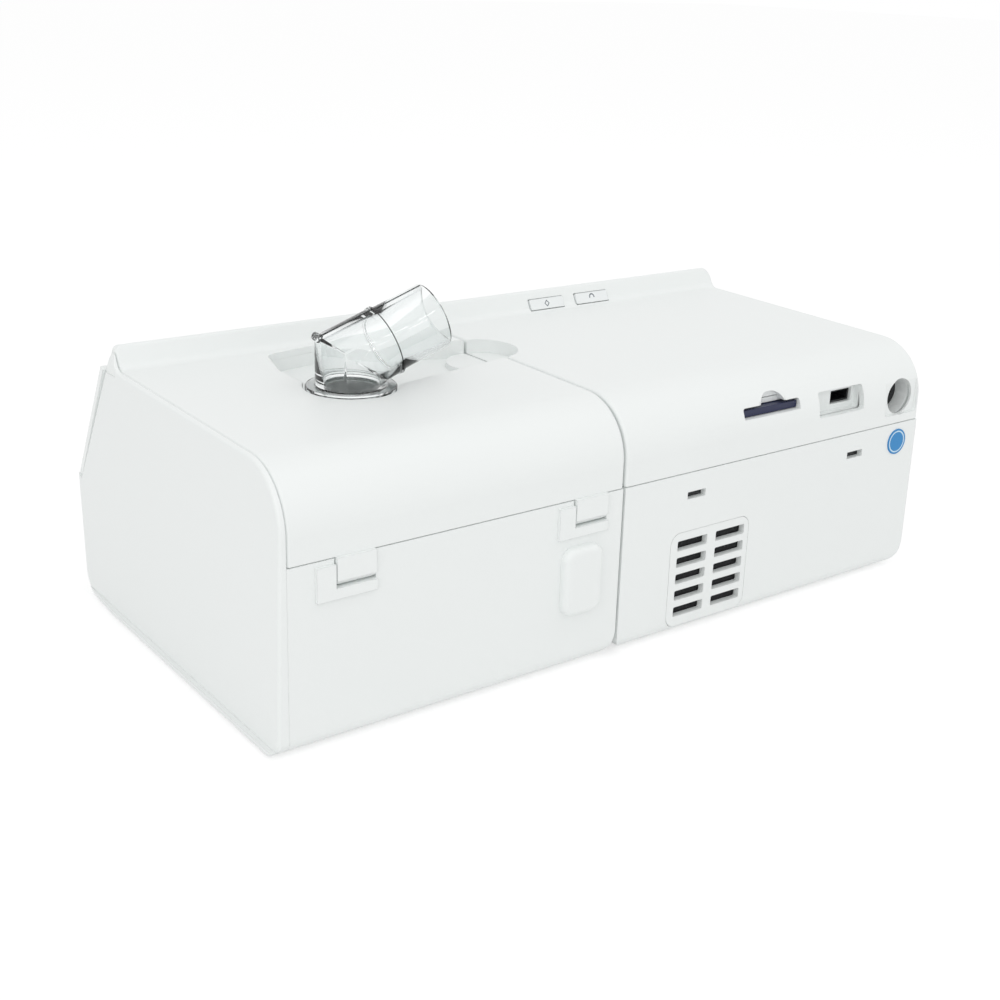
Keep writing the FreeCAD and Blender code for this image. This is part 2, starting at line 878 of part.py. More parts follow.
tower_places = [(x, y) for x in (left_x + s.tower_in, main_right - s.tower_beside)
                for y in (front_y + s.tower_front, rear_y - s.tower_rear)]
for x, y in tower_places:
    pad(main_base_housing, "XY", floor_z - s.wall / 2, seam_low, (x, y, s.tower_radius))
    pocket(main_base_housing, "XY", below, s.screw_head_z + s.screw_head_thick,
           (x, y, s.screw_head + s.screw_clear))
    pocket(main_base_housing, "XY", below, seam_high, (x, y, s.screw_shank + s.screw_clear))
keep(main_base_housing)

for x, y in tower_places:
    pad(main_top_cover, "XY", seam_high, s.top_z - s.post_sink, (x, y, s.tower_radius))
    pocket(main_top_cover, "XY", below, seam_high + s.screw_bite, (x, y, s.screw_shank))

screws = []
for number, (x, y) in enumerate(tower_places, start=1):
    head = (s.screw_head_z, s.screw_head_z + s.screw_head_thick)
    shank = (head[1], seam_high + s.screw_bite)
    parts = [cylinder(f"screw_head_{number}", "Z", x, y, head, s.screw_head),
             cylinder(f"screw_shank_{number}", "Z", x, y, shank, s.screw_shank)]
    screws.append(fuse(f"screw_{number}", parts))
keep(group("case_screws", screws))

clips = []
for number, centre in enumerate(clip_centres, start=1):
    half = s.clip_wide / 2 + s.sill
    clips.append(box(f"case_clip_{number}", (centre - half, centre + half),
                     (inner_rear_y - s.wall, inner_rear_y), (s.clip_low - s.sill, seam_low)))
keep(group("case_clips", clips))

# ---------------------------------------------------------------- main unit front

front_panel = slope_body("front_panel")
pad(front_panel, "XY", -s.panel_thick, ZERO, rectangle(left_x, main_right, panel_low, panel_high))
window = (left_x + s.window_inset, main_right - s.window_beside, s.window_low, s.window_high)
pocket(front_panel, "XY", -s.window_thick, s.margin, rectangle(*window, s.window_round))
inner_window = (window[0] + s.display_rim, window[1] - s.display_rim,
                window[2] + s.display_rim, window[3] - s.display_rim)
pocket(front_panel, "XY", -s.panel_thick - s.margin, s.margin, rectangle(*inner_window))
pocket(front_panel, "XY", -s.knob_sink, s.margin, (knob_x, s.knob_v, s.knob_radius + s.knob_gap))
pocket(front_panel, "XY", -s.panel_thick - s.margin, s.margin,
       (knob_x, s.knob_v, s.encoder_radius + s.part_gap))
pocket(front_panel, "XY", -s.panel_thick - s.margin, s.margin,
       (knob_x, s.home_v, s.home_radius + s.key_gap))
keep(front_panel)

display_window = slope_body("display_window")
fit = s.part_gap / 2
pad(display_window, "XY", -s.window_thick, ZERO,
    rectangle(window[0] + fit, window[1] - fit, window[2] + fit, window[3] - fit, s.window_round))
keep(display_window)

display_module = slope_body("display_module")
pad(display_module, "XY", -s.panel_thick - s.display_thick, -s.panel_thick,
    rectangle(window[0], window[1], window[2], window[3]))
keep(display_module)

control_knob = slope_body("control_knob")
knob_low = s.knob_travel + s.part_gap - s.knob_sink
knob_top = knob_low + s.knob_high
pad(control_knob, "XY", knob_low, knob_top, (knob_x, s.knob_v, s.knob_radius))
round_edges(control_knob, s.knob_round, lambda edge: edge.BoundBox.ZMin > s.knob_high.value / 2)
pocket(control_knob, "XY", knob_low - s.margin, knob_low + s.encoder_reach,
       (knob_x, s.knob_v, s.encoder_radius + s.encoder_fit))
keep(control_knob)

encoder_shaft = slope_body("encoder_shaft")
encoder_base = -s.panel_thick - s.part_gap
pad(encoder_shaft, "XY", encoder_base, knob_low + s.encoder_reach - s.knob_travel - s.part_gap,
    (knob_x, s.knob_v, s.encoder_radius))
keep(encoder_shaft)

rotary_encoder = slope_body("rotary_encoder")
half_case = s.encoder_case / 2
pad(rotary_encoder, "XY", encoder_base - s.part_gap - s.encoder_deep, encoder_base - s.part_gap,
    rectangle(knob_x - half_case, knob_x + half_case, s.knob_v - half_case, s.knob_v + half_case))
keep(rotary_encoder)

home_button = slope_body("home_button")
pad(home_button, "XY", -s.panel_thick, s.home_high, (knob_x, s.home_v, s.home_radius))
round_edges(home_button, s.home_high / 2, lambda edge: edge.BoundBox.ZMin > s.home_high.value / 2)
pad(home_button, "XY", -s.home_deep, -s.panel_thick, (knob_x, s.home_v, s.home_stem))
keep(home_button)

home_switch = slope_body("home_switch")
switch_top = -s.home_deep - s.knob_travel - s.part_gap
board_top = encoder_base - s.part_gap - s.encoder_deep
pad(home_switch, "XY", board_top, switch_top,
    rectangle(knob_x - s.home_radius, knob_x + s.home_radius,
              s.home_v - s.home_radius, s.home_v + s.home_radius))
keep(home_switch)

front_board = slope_body("front_board")
pad(front_board, "XY", board_top - s.board_thick, board_top,
    rectangle(window[0], knob_x + s.encoder_case, s.window_low, s.window_high + s.home_radius / 2))
keep(front_board)

# Each crest button slides square to the ramp and rests on its own small board.
for label, centre in key_centres.items():
    key = new_body(label)
    pad(key, "YZ", centre - s.key_width / 2, centre + s.key_width / 2,
        key_outline(ZERO, s.key_proud, s.key_deep))
    round_edges(key, s.key_round, lambda edge: near(edge.Length, s.key_deep + s.key_proud))
    keep(key)

key_board = new_body("key_board")
board_far = board_near + s.key_board_thick
pad(key_board, "YZ", ramp_x - s.key_width / 2, start_x + s.key_width / 2, [
    on_ramp(s.key_low, board_far), on_ramp(s.key_low, board_near),
    on_ramp(s.key_board_high, board_near), on_ramp(s.key_board_high, board_far)])
keep(key_board)

# ---------------------------------------------------------------- rear ports

card_rear = rear_y - s.card_inset
card_front = card_rear - s.card_long
port_back = port_floor - s.wall
keep(box("memory_card", card_span[:2], (card_front, card_rear), card_span[2:]))

card_socket = new_body("card_socket")
pad(card_socket, "XZ", card_front - s.margin, port_back, rectangle(*widen(card_span, s.wall)))
pocket(card_socket, "XZ", card_front - s.card_fit, rear_out, rectangle(*widen(card_span, s.card_fit)))
keep(card_socket)

comm_port = new_body("comm_port")
comm_front = port_floor - s.comm_long
pad(comm_port, "XZ", comm_front, port_floor - s.comm_shell, rectangle(*comm_span))
pad(comm_port, "XZ", comm_front, port_back, rectangle(*widen(comm_span, s.comm_shell)))
pocket(comm_port, "XZ", comm_front + s.comm_shell, rear_out,
       rectangle(*widen(comm_span, -s.comm_shell / 2)))
keep(comm_port)

power_inlet = new_body("power_inlet")
inlet_face = rear_y - s.inlet_sink
inlet_front = inlet_face - s.inlet_long
pad(power_inlet, "XZ", inlet_front, inlet_face, (inlet_x, s.inlet_z, s.inlet_ring))
pocket(power_inlet, "XZ", inlet_front + s.wall, rear_out, (inlet_x, s.inlet_z, s.inlet_bore))
keep(power_inlet)
keep(cylinder("power_inlet_pin", "Y", inlet_x, (inlet_front + s.wall, inlet_face - s.sill),
              s.inlet_z, s.inlet_pin))

keep(cylinder("label_disc", "Y", left_x + s.label_in, (rear_y, rear_y + s.label_thick),
              s.label_z, s.label_radius))

# ---------------------------------------------------------------- air inlet

filter_cover = new_body("filter_cover")
pad(filter_cover, "XZ", rear_y - s.grille_thick, rear_y, rectangle(
    grille_left, grille_right, s.grille_bottom, s.grille_top, s.grille_round))
slat_half = s.slat_wide / 2
slat_start = grille_left + s.slat_column
for column in (slat_start, slat_start + s.slat_column_pitch):
    for step in range(int(s.slat_count.value)):
        low = s.slat_low + s.slat_pitch * step
        pocket(filter_cover, "XZ", rear_y - s.grille_thick - s.margin, rear_out, rectangle(
            column - slat_half, column + slat_half, low, low + s.slat_high, s.slat_round))
keep(filter_cover)

filter_rear = rear_y - s.grille_thick - s.part_gap
filter_front = filter_rear - s.filter_thick
keep(box("filter_pad", (grille_left + s.filter_edge, grille_right - s.filter_edge),
         (filter_front, filter_rear),
         (s.grille_bottom + s.filter_edge, s.grille_top - s.filter_edge)))
foam_rear = filter_front - s.part_gap
keep(box("muffler_foam", (grille_left, grille_right), (foam_rear - s.foam_thick, foam_rear),
         (floor_z + s.part_gap, s.grille_top)))

# ---------------------------------------------------------------- blower

blower_x = -s.blower_x
blower_y = -s.blower_y
duct_end = main_right - s.part_gap

blower_lower = new_body("blower_lower_housing")
pad(blower_lower, "XY", s.blower_low, s.blower_split, (blower_x, blower_y, s.blower_radius))
pad(blower_lower, "YZ", blower_x + s.mount_ring, duct_end, (duct_y, s.duct_z, s.duct_radius + s.duct_wall))
pocket(blower_lower, "XY", s.blower_low + s.blower_wall, s.blower_high + s.margin,
       (blower_x, blower_y, s.blower_radius - s.blower_wall))
pocket(blower_lower, "YZ", blower_x + s.hub_radius, main_right + s.margin, (duct_y, s.duct_z, s.duct_radius))
pocket(blower_lower, "XY", below, s.blower_split, (blower_x, blower_y, s.shaft_radius + s.shaft_fit))
keep(blower_lower)

blower_upper = new_body("blower_upper_housing")
pad(blower_upper, "XY", s.blower_split, s.blower_high, (blower_x, blower_y, s.blower_radius))
pocket(blower_upper, "XY", s.blower_split - s.margin, s.blower_high - s.blower_wall,
       (blower_x, blower_y, s.blower_radius - s.blower_wall))
pocket(blower_upper, "XY", s.blower_split, s.blower_high + s.margin, (blower_x, blower_y, s.inlet_eye))
pocket(blower_upper, "YZ", blower_x, duct_end + s.margin,
       (duct_y, s.duct_z, s.duct_radius + s.duct_wall + s.part_gap))
keep(blower_upper)

blade_span = s.impeller_radius - s.hub_radius
impeller_parts = [
    cylinder("impeller_disc", "Z", blower_x, blower_y,
             (s.impeller_low, s.impeller_low + s.impeller_disc), s.impeller_radius),
    cylinder("impeller_hub", "Z", blower_x, blower_y, (s.impeller_low, s.impeller_high), s.hub_radius),
]
for number in range(int(s.blade_count.value)):
    blade = document.addObject("Part::Box", f"impeller_blade_{number}")
    bind(blade, "Length", blade_span)
    bind(blade, "Width", s.blade_thick)
    bind(blade, "Height", s.impeller_high - s.impeller_low)
    turn = FreeCAD.Rotation(FreeCAD.Vector(0, 0, 1), 360 * number / s.blade_count.value)
    lean = FreeCAD.Rotation(FreeCAD.Vector(0, 0, 1), s.blade_lean.value)
    start = turn.multVec(FreeCAD.Vector(s.hub_radius.value - s.blade_thick.value, 0, 0))
    centre = FreeCAD.Vector(blower_x.value, blower_y.value, s.impeller_low.value)
    blade.Placement = FreeCAD.Placement(centre + start, turn.multiply(lean))
    impeller_parts.append(blade)
impeller_blank = fuse("impeller_blank", impeller_parts)
impeller_bore = cylinder("impeller_bore", "Z", blower_x, blower_y,
                         (s.impeller_low - s.margin, s.impeller_high + s.margin), s.shaft_radius)
keep(cut("impeller", impeller_blank, impeller_bore))
shaft_low = s.motor_low + s.wall
keep(cylinder("motor_shaft", "Z", blower_x, blower_y, (shaft_low, s.impeller_high), s.shaft_radius))

blower_motor = new_body("blower_motor")
pad(blower_motor, "XY", s.motor_low, s.blower_low, (blower_x, blower_y, s.motor_radius))
pocket(blower_motor, "XY", shaft_low, s.blower_low + s.margin,
       (blower_x, blower_y, s.shaft_radius + s.shaft_fit))
keep(blower_motor)

mounts = []
for number, (across, ahead) in enumerate(((-1, 0), (0, -1), (0, 1)), start=1):
    mounts.append(cylinder(f"blower_mount_{number}", "Z", blower_x + s.mount_ring * across,
                           blower_y + s.mount_ring * ahead, (floor_z, s.blower_low), s.mount_radius))
keep(group("blower_mounts", mounts))

seal_outer = s.duct_radius + s.duct_wall + s.seal_wall - s.part_gap
keep(ring("duct_seal", "X", (main_right - s.wall, humid_left + s.wall), duct_y, s.duct_z,
          seal_outer, s.duct_radius + s.duct_wall + s.part_gap))

keep(box("main_board", (left_x + s.main_board_in, main_right - s.main_board_beside),
         (front_y + s.main_board_front, rear_y - s.main_board_rear),
         (s.main_board_z, s.main_board_z + s.board_thick)))

feet = {}
for side, places in {"main": (left_x + s.foot_in, s.split_x - s.foot_beside),
                     "humidifier": (s.split_x + s.foot_beside, right_x - s.foot_in)}.items():
    feet[side] = [(x, y) for x in places for y in (front_y + s.foot_front, rear_y - s.foot_rear)]
    pads = [cylinder(f"{side}_foot_{number}", "Z", x, y, (ZERO, s.foot_thick), s.foot_radius)
            for number, (x, y) in enumerate(feet[side], start=1)]
    keep(group(f"{side}_feet", pads))
for x, y in feet["main"]:
    pocket(main_base_housing, "XY", below, s.foot_thick, (x, y, s.foot_radius))

# ---------------------------------------------------------------- humidifier case

humidifier_base = new_body("humidifier_base")
pad(humidifier_base, "YZ", humid_left, cap_left, LOWER_OUTSIDE)
pocket(humidifier_base, "YZ", humid_left + s.wall, cap_left - s.wall, LOWER_INSIDE)
round_edges(humidifier_base, s.inner_round,
            lambda edge: lies_at(edge, x=humid_left + s.wall, z=floor_z))
trim_bottom_corner(humidifier_base, humid_left, as_size(-1), s.split_round)
for x, y in feet["humidifier"]:
    pocket(humidifier_base, "XY", below, s.foot_thick, (x, y, s.foot_radius))
pocket(humidifier_base, "YZ", humid_left - s.margin, humid_left + s.wall + s.margin, duct_hole)

hinges = []
for outer_x in (right_x - s.hinge_outer, humid_left + s.hinge_inner):
    block_x = outer_x - s.hinge_block
    knuckle_x = block_x - s.hinge_side_gap
    inner_x = knuckle_x - s.hinge_knuckle
    hinges.append(SimpleNamespace(block=block_x, right=knuckle_x, left=inner_x,
                                  pocket=inner_x - s.hinge_side_gap, end=outer_x))
for hinge in hinges:
    holder_rear = rear_y - s.hinge_pocket_deep
    pad(humidifier_base, "XZ", holder_rear - s.wall, inner_rear_y, rectangle(
        hinge.pocket - s.pin_hold - s.wall, hinge.end, s.hinge_block_low - s.wall, seam_low))
    pad(humidifier_base, "XZ", rear_y - s.wall, rear_y + s.hinge_proud, rectangle(
        hinge.pocket, hinge.end, s.hinge_block_low, s.hinge_block_high))
    pocket(humidifier_base, "XZ", holder_rear, rear_out, rectangle(
        hinge.pocket, hinge.block, s.hinge_pocket_z, seam_low + s.margin))
    pocket(humidifier_base, "YZ", hinge.pocket - s.pin_hold, hinge.block + s.pin_hold,
           (hinge_y, s.hinge_z, s.pin_radius))
keep(humidifier_base)
keep(group("hinge_pins", [
    cylinder(f"hinge_pin_{number}", "X", (hinge.pocket - s.pin_hold, hinge.block + s.pin_hold),
             hinge_y, s.hinge_z, s.pin_radius)
    for number, hinge in enumerate(hinges, start=1)]))

def cap_face_x(z):
    """Where the cap's face is at a height: it leans out a little towards its foot."""
    return right_x + s.cap_lean * (s.seam_z - z) / (s.seam_z - s.cap_lip_top)


# The cap's foot ends in a lip, which fades out towards the toe.
end_cap = new_body("end_cap")
lip_x = right_x + s.cap_lip
pad(end_cap, "YZ", cap_left, lip_x, [
    toe + (s.toe_round,),
    (rear_y, s.shell_z, s.bottom_round),
    (rear_y, s.top_z, s.rear_round),
    ramp_foot + (s.ramp_round,),
    shell_ridge + (s.ridge_round,),
    slope_bottom,
    vertex,
])
pocket(end_cap, "XZ", front_out, rear_out, [
    (cap_face_x(s.cap_lip_top), s.cap_lip_top),
    (lip_x + s.margin, s.cap_lip_top),
    (lip_x + s.margin, above),
    (cap_face_x(above), above),
])
pocket(end_cap, "XY", below, s.cap_lip_top, [
    (lip_x, toe_y + s.lip_fade),
    (lip_x + s.margin, toe_y + s.lip_fade),
    (lip_x + s.margin, front_out),
    (cap_face_x(s.cap_lip_top), front_out),
    (cap_face_x(s.cap_lip_top), toe_y),
])


def is_cap_rim(edge):
    """Whether an edge borders the leaning face behind the crest."""
    return (all(near(corner.Point.x, cap_face_x(corner.Point.z)) for corner in edge.Vertexes)
            and edge.BoundBox.YMax > ramp_y.value and edge.BoundBox.ZMax > s.seam_z.value)


round_edges(end_cap, s.edge_round, is_cap_rim)
trim_crest_corner(end_cap, right_x - s.edge_round, as_size(1))
keep(end_cap)

# ---------------------------------------------------------------- humidifier lid

humidifier_lid = new_body("humidifier_lid")
pad(humidifier_lid, "YZ", humid_left, humid_right, UPPER_OUTSIDE)
round_edges(humidifier_lid, s.edge_round, lambda edge: is_roof_end(edge, humid_left, humid_right))
pocket(humidifier_lid, "YZ", humid_left + s.wall, humid_right - s.wall, UPPER_INSIDE)
trim_crest_corner(humidifier_lid, right_x - s.edge_round, as_size(1))
sink_dish(humidifier_lid, dish_left, humid_left)
pad(humidifier_lid, "XY", s.port_bottom, s.port_top, (elbow_x, elbow_y, s.port_radius))
pocket(humidifier_lid, "XY", s.port_bottom - s.margin, above,
       (elbow_x, elbow_y, s.spigot_radius + s.spigot_fit))
tab_face = rear_y + s.hinge_proud
for hinge in hinges:
    pad(humidifier_lid, "XZ", rear_y - s.tab_thick, rear_y,
        rectangle(hinge.left, hinge.right, s.hinge_z, seam_high + s.margin))
    pad(humidifier_lid, "XZ", rear_y - s.tab_thick, tab_face, [
        (hinge.left, s.tab_low, s.tab_round),
        (hinge.right, s.tab_low, s.tab_round),
        (hinge.right, seam_high),
        (hinge.left, seam_high),
    ])
    pocket(humidifier_lid, "YZ", hinge.left - s.margin, hinge.right + s.margin, [
        (tab_face - s.tab_edge, s.tab_low),
        (tab_face, s.tab_low + s.tab_edge),
        (tab_face + s.margin, s.tab_low + s.tab_edge),
        (tab_face + s.margin, s.tab_low - s.margin),
        (tab_face - s.tab_edge, s.tab_low - s.margin),
    ])
    pad(humidifier_lid, "YZ", hinge.left, hinge.right, (hinge_y, s.hinge_z, s.knuckle_radius))
    pocket(humidifier_lid, "YZ", hinge.left - s.margin, hinge.right + s.margin,
           (hinge_y, s.hinge_z, s.pin_radius + s.pin_fit))
keep(humidifier_lid)

keep(ring("elbow_seal", "Z", elbow_x, elbow_y, (s.port_top, s.port_top + s.seal_thick),
          s.port_radius, s.seal_inner))
keep(ring("outlet_gasket", "Z", elbow_x, elbow_y, (s.port_bottom - s.gasket_thick, s.port_bottom),
          s.neck_radius, s.seal_inner))


def mitred_pipe(shrink):
    """The riser and the rising spout of the elbow, joined on a mitre, less a wall."""
    bend = FreeCAD.Vector(elbow_x.value, elbow_y.value, s.bend_z.value)
    upwards = FreeCAD.Vector(0, 0, 1)
    turn = FreeCAD.Rotation(upwards, -s.spout_turn.value)
    rise = FreeCAD.Rotation(FreeCAD.Vector(0, 1, 0), s.spout_rise.value)
    along = turn.multiply(rise).multVec(FreeCAD.Vector(-1, 0, 0))
    long = s.spout_long.value
    ring_at = s.spout_ring.value
    root_radius = s.riser_radius.value - shrink
    riser_low = bend - upwards * (s.bend_z.value - s.flange_low.value)
    riser = Part.makeCylinder(root_radius, 2 * long, riser_low, upwards)
    spout = Part.makeCylinder(root_radius, long + ring_at, bend - along * long, along)
    cuff = Part.makeCylinder(s.cuff_radius.value - shrink, long - ring_at, bend + along * ring_at, along)
    side = 4 * long
    block = Part.makeBox(side, side, side, FreeCAD.Vector(-side / 2, -side / 2, 0))
    block.Placement = FreeCAD.Placement(bend, FreeCAD.Rotation(upwards, upwards + along))
    return riser.cut(block).fuse(spout.common(block)).fuse(cuff)


outlet_elbow = document.addObject("Part::Feature", "outlet_elbow")
outlet_elbow.Label = "outlet_elbow"
axis_point = FreeCAD.Vector(elbow_x.value, elbow_y.value, 0)
flange_at = axis_point + FreeCAD.Vector(0, 0, s.flange_low.value)
spigot_at = axis_point + FreeCAD.Vector(0, 0, s.spigot_low.value)
spigot_long = s.flange_low.value - s.spigot_low.value
bore_radius = s.spigot_radius.value - s.elbow_wall.value
elbow_outside = mitred_pipe(0.0)
elbow_outside = elbow_outside.fuse(Part.makeCylinder(s.flange_radius.value, s.flange_thick.value, flange_at))
elbow_outside = elbow_outside.fuse(Part.makeCylinder(s.spigot_radius.value, spigot_long, spigot_at))
elbow_inside = mitred_pipe(s.elbow_wall.value)
elbow_inside = elbow_inside.fuse(Part.makeCylinder(bore_radius, spigot_long, spigot_at))
outlet_elbow.Shape = elbow_outside.cut(elbow_inside).removeSplitter()
keep(outlet_elbow)

# ---------------------------------------------------------------- humidifier front

humidifier_panel = slope_body("humidifier_front_panel")
pad(humidifier_panel, "XY", -s.panel_thick, ZERO,
    rectangle(humid_left, right_x, panel_low, panel_high))
release_x = right_x - s.release_in
release = (release_x - s.release_wide / 2, release_x + s.release_wide / 2,
           s.release_v - s.release_high / 2, s.release_v + s.release_high / 2)
pocket(humidifier_panel, "XY", -s.panel_thick - s.margin, s.margin, rectangle(
    release[0] - s.release_gap, release[1] + s.release_gap,
    release[2] - s.release_gap, release[3] + s.release_gap, s.release_round))
keep(humidifier_panel)

release_button = slope_body("release_button")
pad(release_button, "XY", -s.panel_thick, s.release_proud, rectangle(*release, s.release_round))
keep(release_button)

# ---------------------------------------------------------------- water tank and heater

water_tank = new_body("water_tank")
tank = (humid_left + s.tank_left, right_x - s.tank_right, front_y + s.tank_front, rear_y - s.tank_rear)
tank_inside = (tank[0] + s.tank_wall, tank[1] - s.tank_wall, tank[2] + s.tank_wall, tank[3] - s.tank_wall)
tank_inner_round = s.tank_round - s.tank_wall
channel = (tank[0], tank[0] + s.channel_wide, duct_y - s.duct_radius - s.tank_wall,
           duct_y + s.duct_radius + s.tank_wall)
pad(water_tank, "XY", s.tank_low, s.tank_high, rectangle(*tank, s.tank_round))
pocket(water_tank, "XY", s.tank_low + s.tank_wall, s.tank_high + s.margin,
       rectangle(*tank_inside, tank_inner_round))
pad(water_tank, "XY", s.tank_low, s.channel_high, rectangle(*channel))
pocket(water_tank, "XY", s.tank_low + s.tank_wall, s.channel_high + s.margin, rectangle(
    channel[0] + s.tank_wall, channel[1] - s.tank_wall, channel[2] + s.tank_wall, channel[3] - s.tank_wall))
pocket(water_tank, "YZ", tank[0] - s.margin, tank[0] + s.tank_wall + s.margin,
       (duct_y, s.duct_z, s.duct_radius))
keep(water_tank)

tank_seal = new_body("tank_seal")
seal_top = s.tank_high + s.seal_high
pad(tank_seal, "XY", s.tank_high, seal_top, rectangle(*tank, s.tank_round))
pocket(tank_seal, "XY", s.tank_high - s.margin, seal_top + s.margin,
       rectangle(*tank_inside, tank_inner_round))
keep(tank_seal)

tank_lid = new_body("tank_lid")
tank_lid_top = seal_top + s.tank_lid_thick
neck_top = s.port_bottom - s.gasket_thick - s.part_gap
pad(tank_lid, "XY", seal_top, tank_lid_top, rectangle(*tank, s.tank_round))
pad(tank_lid, "XY", seal_top, neck_top, (elbow_x, elbow_y, s.neck_radius))
pocket(tank_lid, "XY", seal_top - s.margin, neck_top + s.margin,
       (elbow_x, elbow_y, s.neck_radius - s.neck_wall))
keep(tank_lid)

heater = (tank[0] + s.heater_edge, tank[1] - s.heater_edge, tank[2] + s.heater_edge, tank[3] - s.heater_edge)
heater_plate = new_body("heater_plate")
pad(heater_plate, "XY", s.heater_low, s.heater_low + s.heater_thick, rectangle(*heater, s.tank_round))
keep(heater_plate)
heater_insulation = new_body("heater_insulation")
pad(heater_insulation, "XY", floor_z, s.heater_low, rectangle(*heater, s.tank_round))
keep(heater_insulation)
keep(box("humidifier_board", (heater[1] + s.part_gap, heater[1] + s.heater_edge),
         (heater[2], heater[3]), (floor_z + s.part_gap, floor_z + s.part_gap + s.board_thick)))

# ---------------------------------------------------------------- accessory port

plug_left = humid_left + s.plug_in
plug = (plug_left, plug_left + s.plug_wide, s.plug_low, s.plug_high)
shank = (plug[0] + s.plug_shank_edge, plug[1] - s.plug_shank_edge,
         plug[2] + s.plug_shank_edge, plug[3] - s.plug_shank_edge)
shank_hole = (shank[0] - s.plug_gap, shank[1] + s.plug_gap, shank[2] - s.plug_gap, shank[3] + s.plug_gap)
pocket(humidifier_base, "XZ", inner_rear_y - s.margin, rear_out, rectangle(*shank_hole))
accessory_cover = new_body("accessory_cover")
pad(accessory_cover, "XZ", rear_y, rear_y + s.plug_proud, rectangle(*plug, s.plug_round))
round_edges(accessory_cover, s.plug_edge, lambda edge: lies_at(edge, y=rear_y + s.plug_proud))
pad(accessory_cover, "XZ", rear_y - s.plug_shank, rear_y, rectangle(*shank))
keep(accessory_cover)

accessory_socket = new_body("accessory_socket")
pad(accessory_socket, "XZ", inner_rear_y - s.socket_long, inner_rear_y, rectangle(
    shank_hole[0] - s.wall, shank_hole[1] + s.wall, shank_hole[2] - s.wall, shank_hole[3] + s.wall))
pocket(accessory_socket, "XZ", inner_rear_y - s.socket_long + s.wall, rear_out, rectangle(*shank_hole))
keep(accessory_socket)

# ---------------------------------------------------------------- checks and files

document.recompute()
for item in document.Objects:
    if {"Invalid", "Error"} & set(item.State):
        raise ValueError(f"{item.Label} did not build")
for item in subparts:
    if item.Shape.isNull() or not item.Shape.isValid():
        raise ValueError(f"{item.Label} has no sound shape")
os.makedirs("parts", exist_ok=True)
for item in subparts:
    item.Shape.exportStep(os.path.join("parts", f"{item.Label}.step"))
    print(f"{item.Label}: {len(item.Shape.Solids)} solids, {item.Shape.Volume:.0f} mm3")
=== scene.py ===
import json
import math

import bmesh
import bpy
from mathutils import Matrix, Vector


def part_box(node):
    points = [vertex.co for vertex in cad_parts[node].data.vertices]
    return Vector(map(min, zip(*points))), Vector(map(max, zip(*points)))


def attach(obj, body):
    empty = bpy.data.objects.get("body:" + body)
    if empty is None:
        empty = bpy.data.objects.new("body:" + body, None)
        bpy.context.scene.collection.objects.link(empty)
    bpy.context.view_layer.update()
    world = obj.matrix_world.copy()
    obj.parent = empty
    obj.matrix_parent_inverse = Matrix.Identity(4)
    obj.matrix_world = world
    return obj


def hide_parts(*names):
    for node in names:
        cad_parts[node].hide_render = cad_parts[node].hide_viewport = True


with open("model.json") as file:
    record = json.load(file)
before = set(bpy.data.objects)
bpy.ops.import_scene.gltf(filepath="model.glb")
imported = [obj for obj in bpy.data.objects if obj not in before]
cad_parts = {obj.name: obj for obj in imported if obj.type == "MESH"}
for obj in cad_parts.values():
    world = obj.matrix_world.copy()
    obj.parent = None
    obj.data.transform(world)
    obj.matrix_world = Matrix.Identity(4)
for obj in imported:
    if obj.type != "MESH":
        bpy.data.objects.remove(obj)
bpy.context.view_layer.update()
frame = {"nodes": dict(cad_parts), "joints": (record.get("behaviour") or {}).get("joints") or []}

# ---------------------------------------------------------------- lower shell of the blower unit
# A deep tray moulded in white ABS. Its steel mould was spark-eroded, so the skin has an even
# fine grain, and every cut edge is broken by a few tenths of a millimetre.

MM = 0.001


def seen(red, green, blue):
    """A colour as the eye gives it, 0 to 255, in the linear light that the shaders mix."""
    light = [((part / 255 + 0.055) / 1.055) ** 2.4 for part in (red, green, blue)]
    return (*light, 1.0)


def new_group(name, inputs, outputs):
    """An empty shader group with its sockets, and its input and output nodes."""
    group = bpy.data.node_groups.new(name, "ShaderNodeTree")
    for label, kind, value in inputs:
        socket = group.interface.new_socket(label, in_out="INPUT", socket_type=kind)
        if value is not None:
            socket.default_value = value
    for label, kind in outputs:
        group.interface.new_socket(label, in_out="OUTPUT", socket_type=kind)
    return group, group.nodes.new("NodeGroupInput"), group.nodes.new("NodeGroupOutput")


def reckon(tree, kind, operation, *sources):
    """A maths node whose inputs, in order, are other sockets, constants or None."""
    step = tree.nodes.new(kind)
    step.operation = operation
    for socket, source in zip(step.inputs, sources):
        if isinstance(source, bpy.types.NodeSocket):
            tree.links.new(source, socket)
        elif source is not None:
            socket.default_value = source
    return step


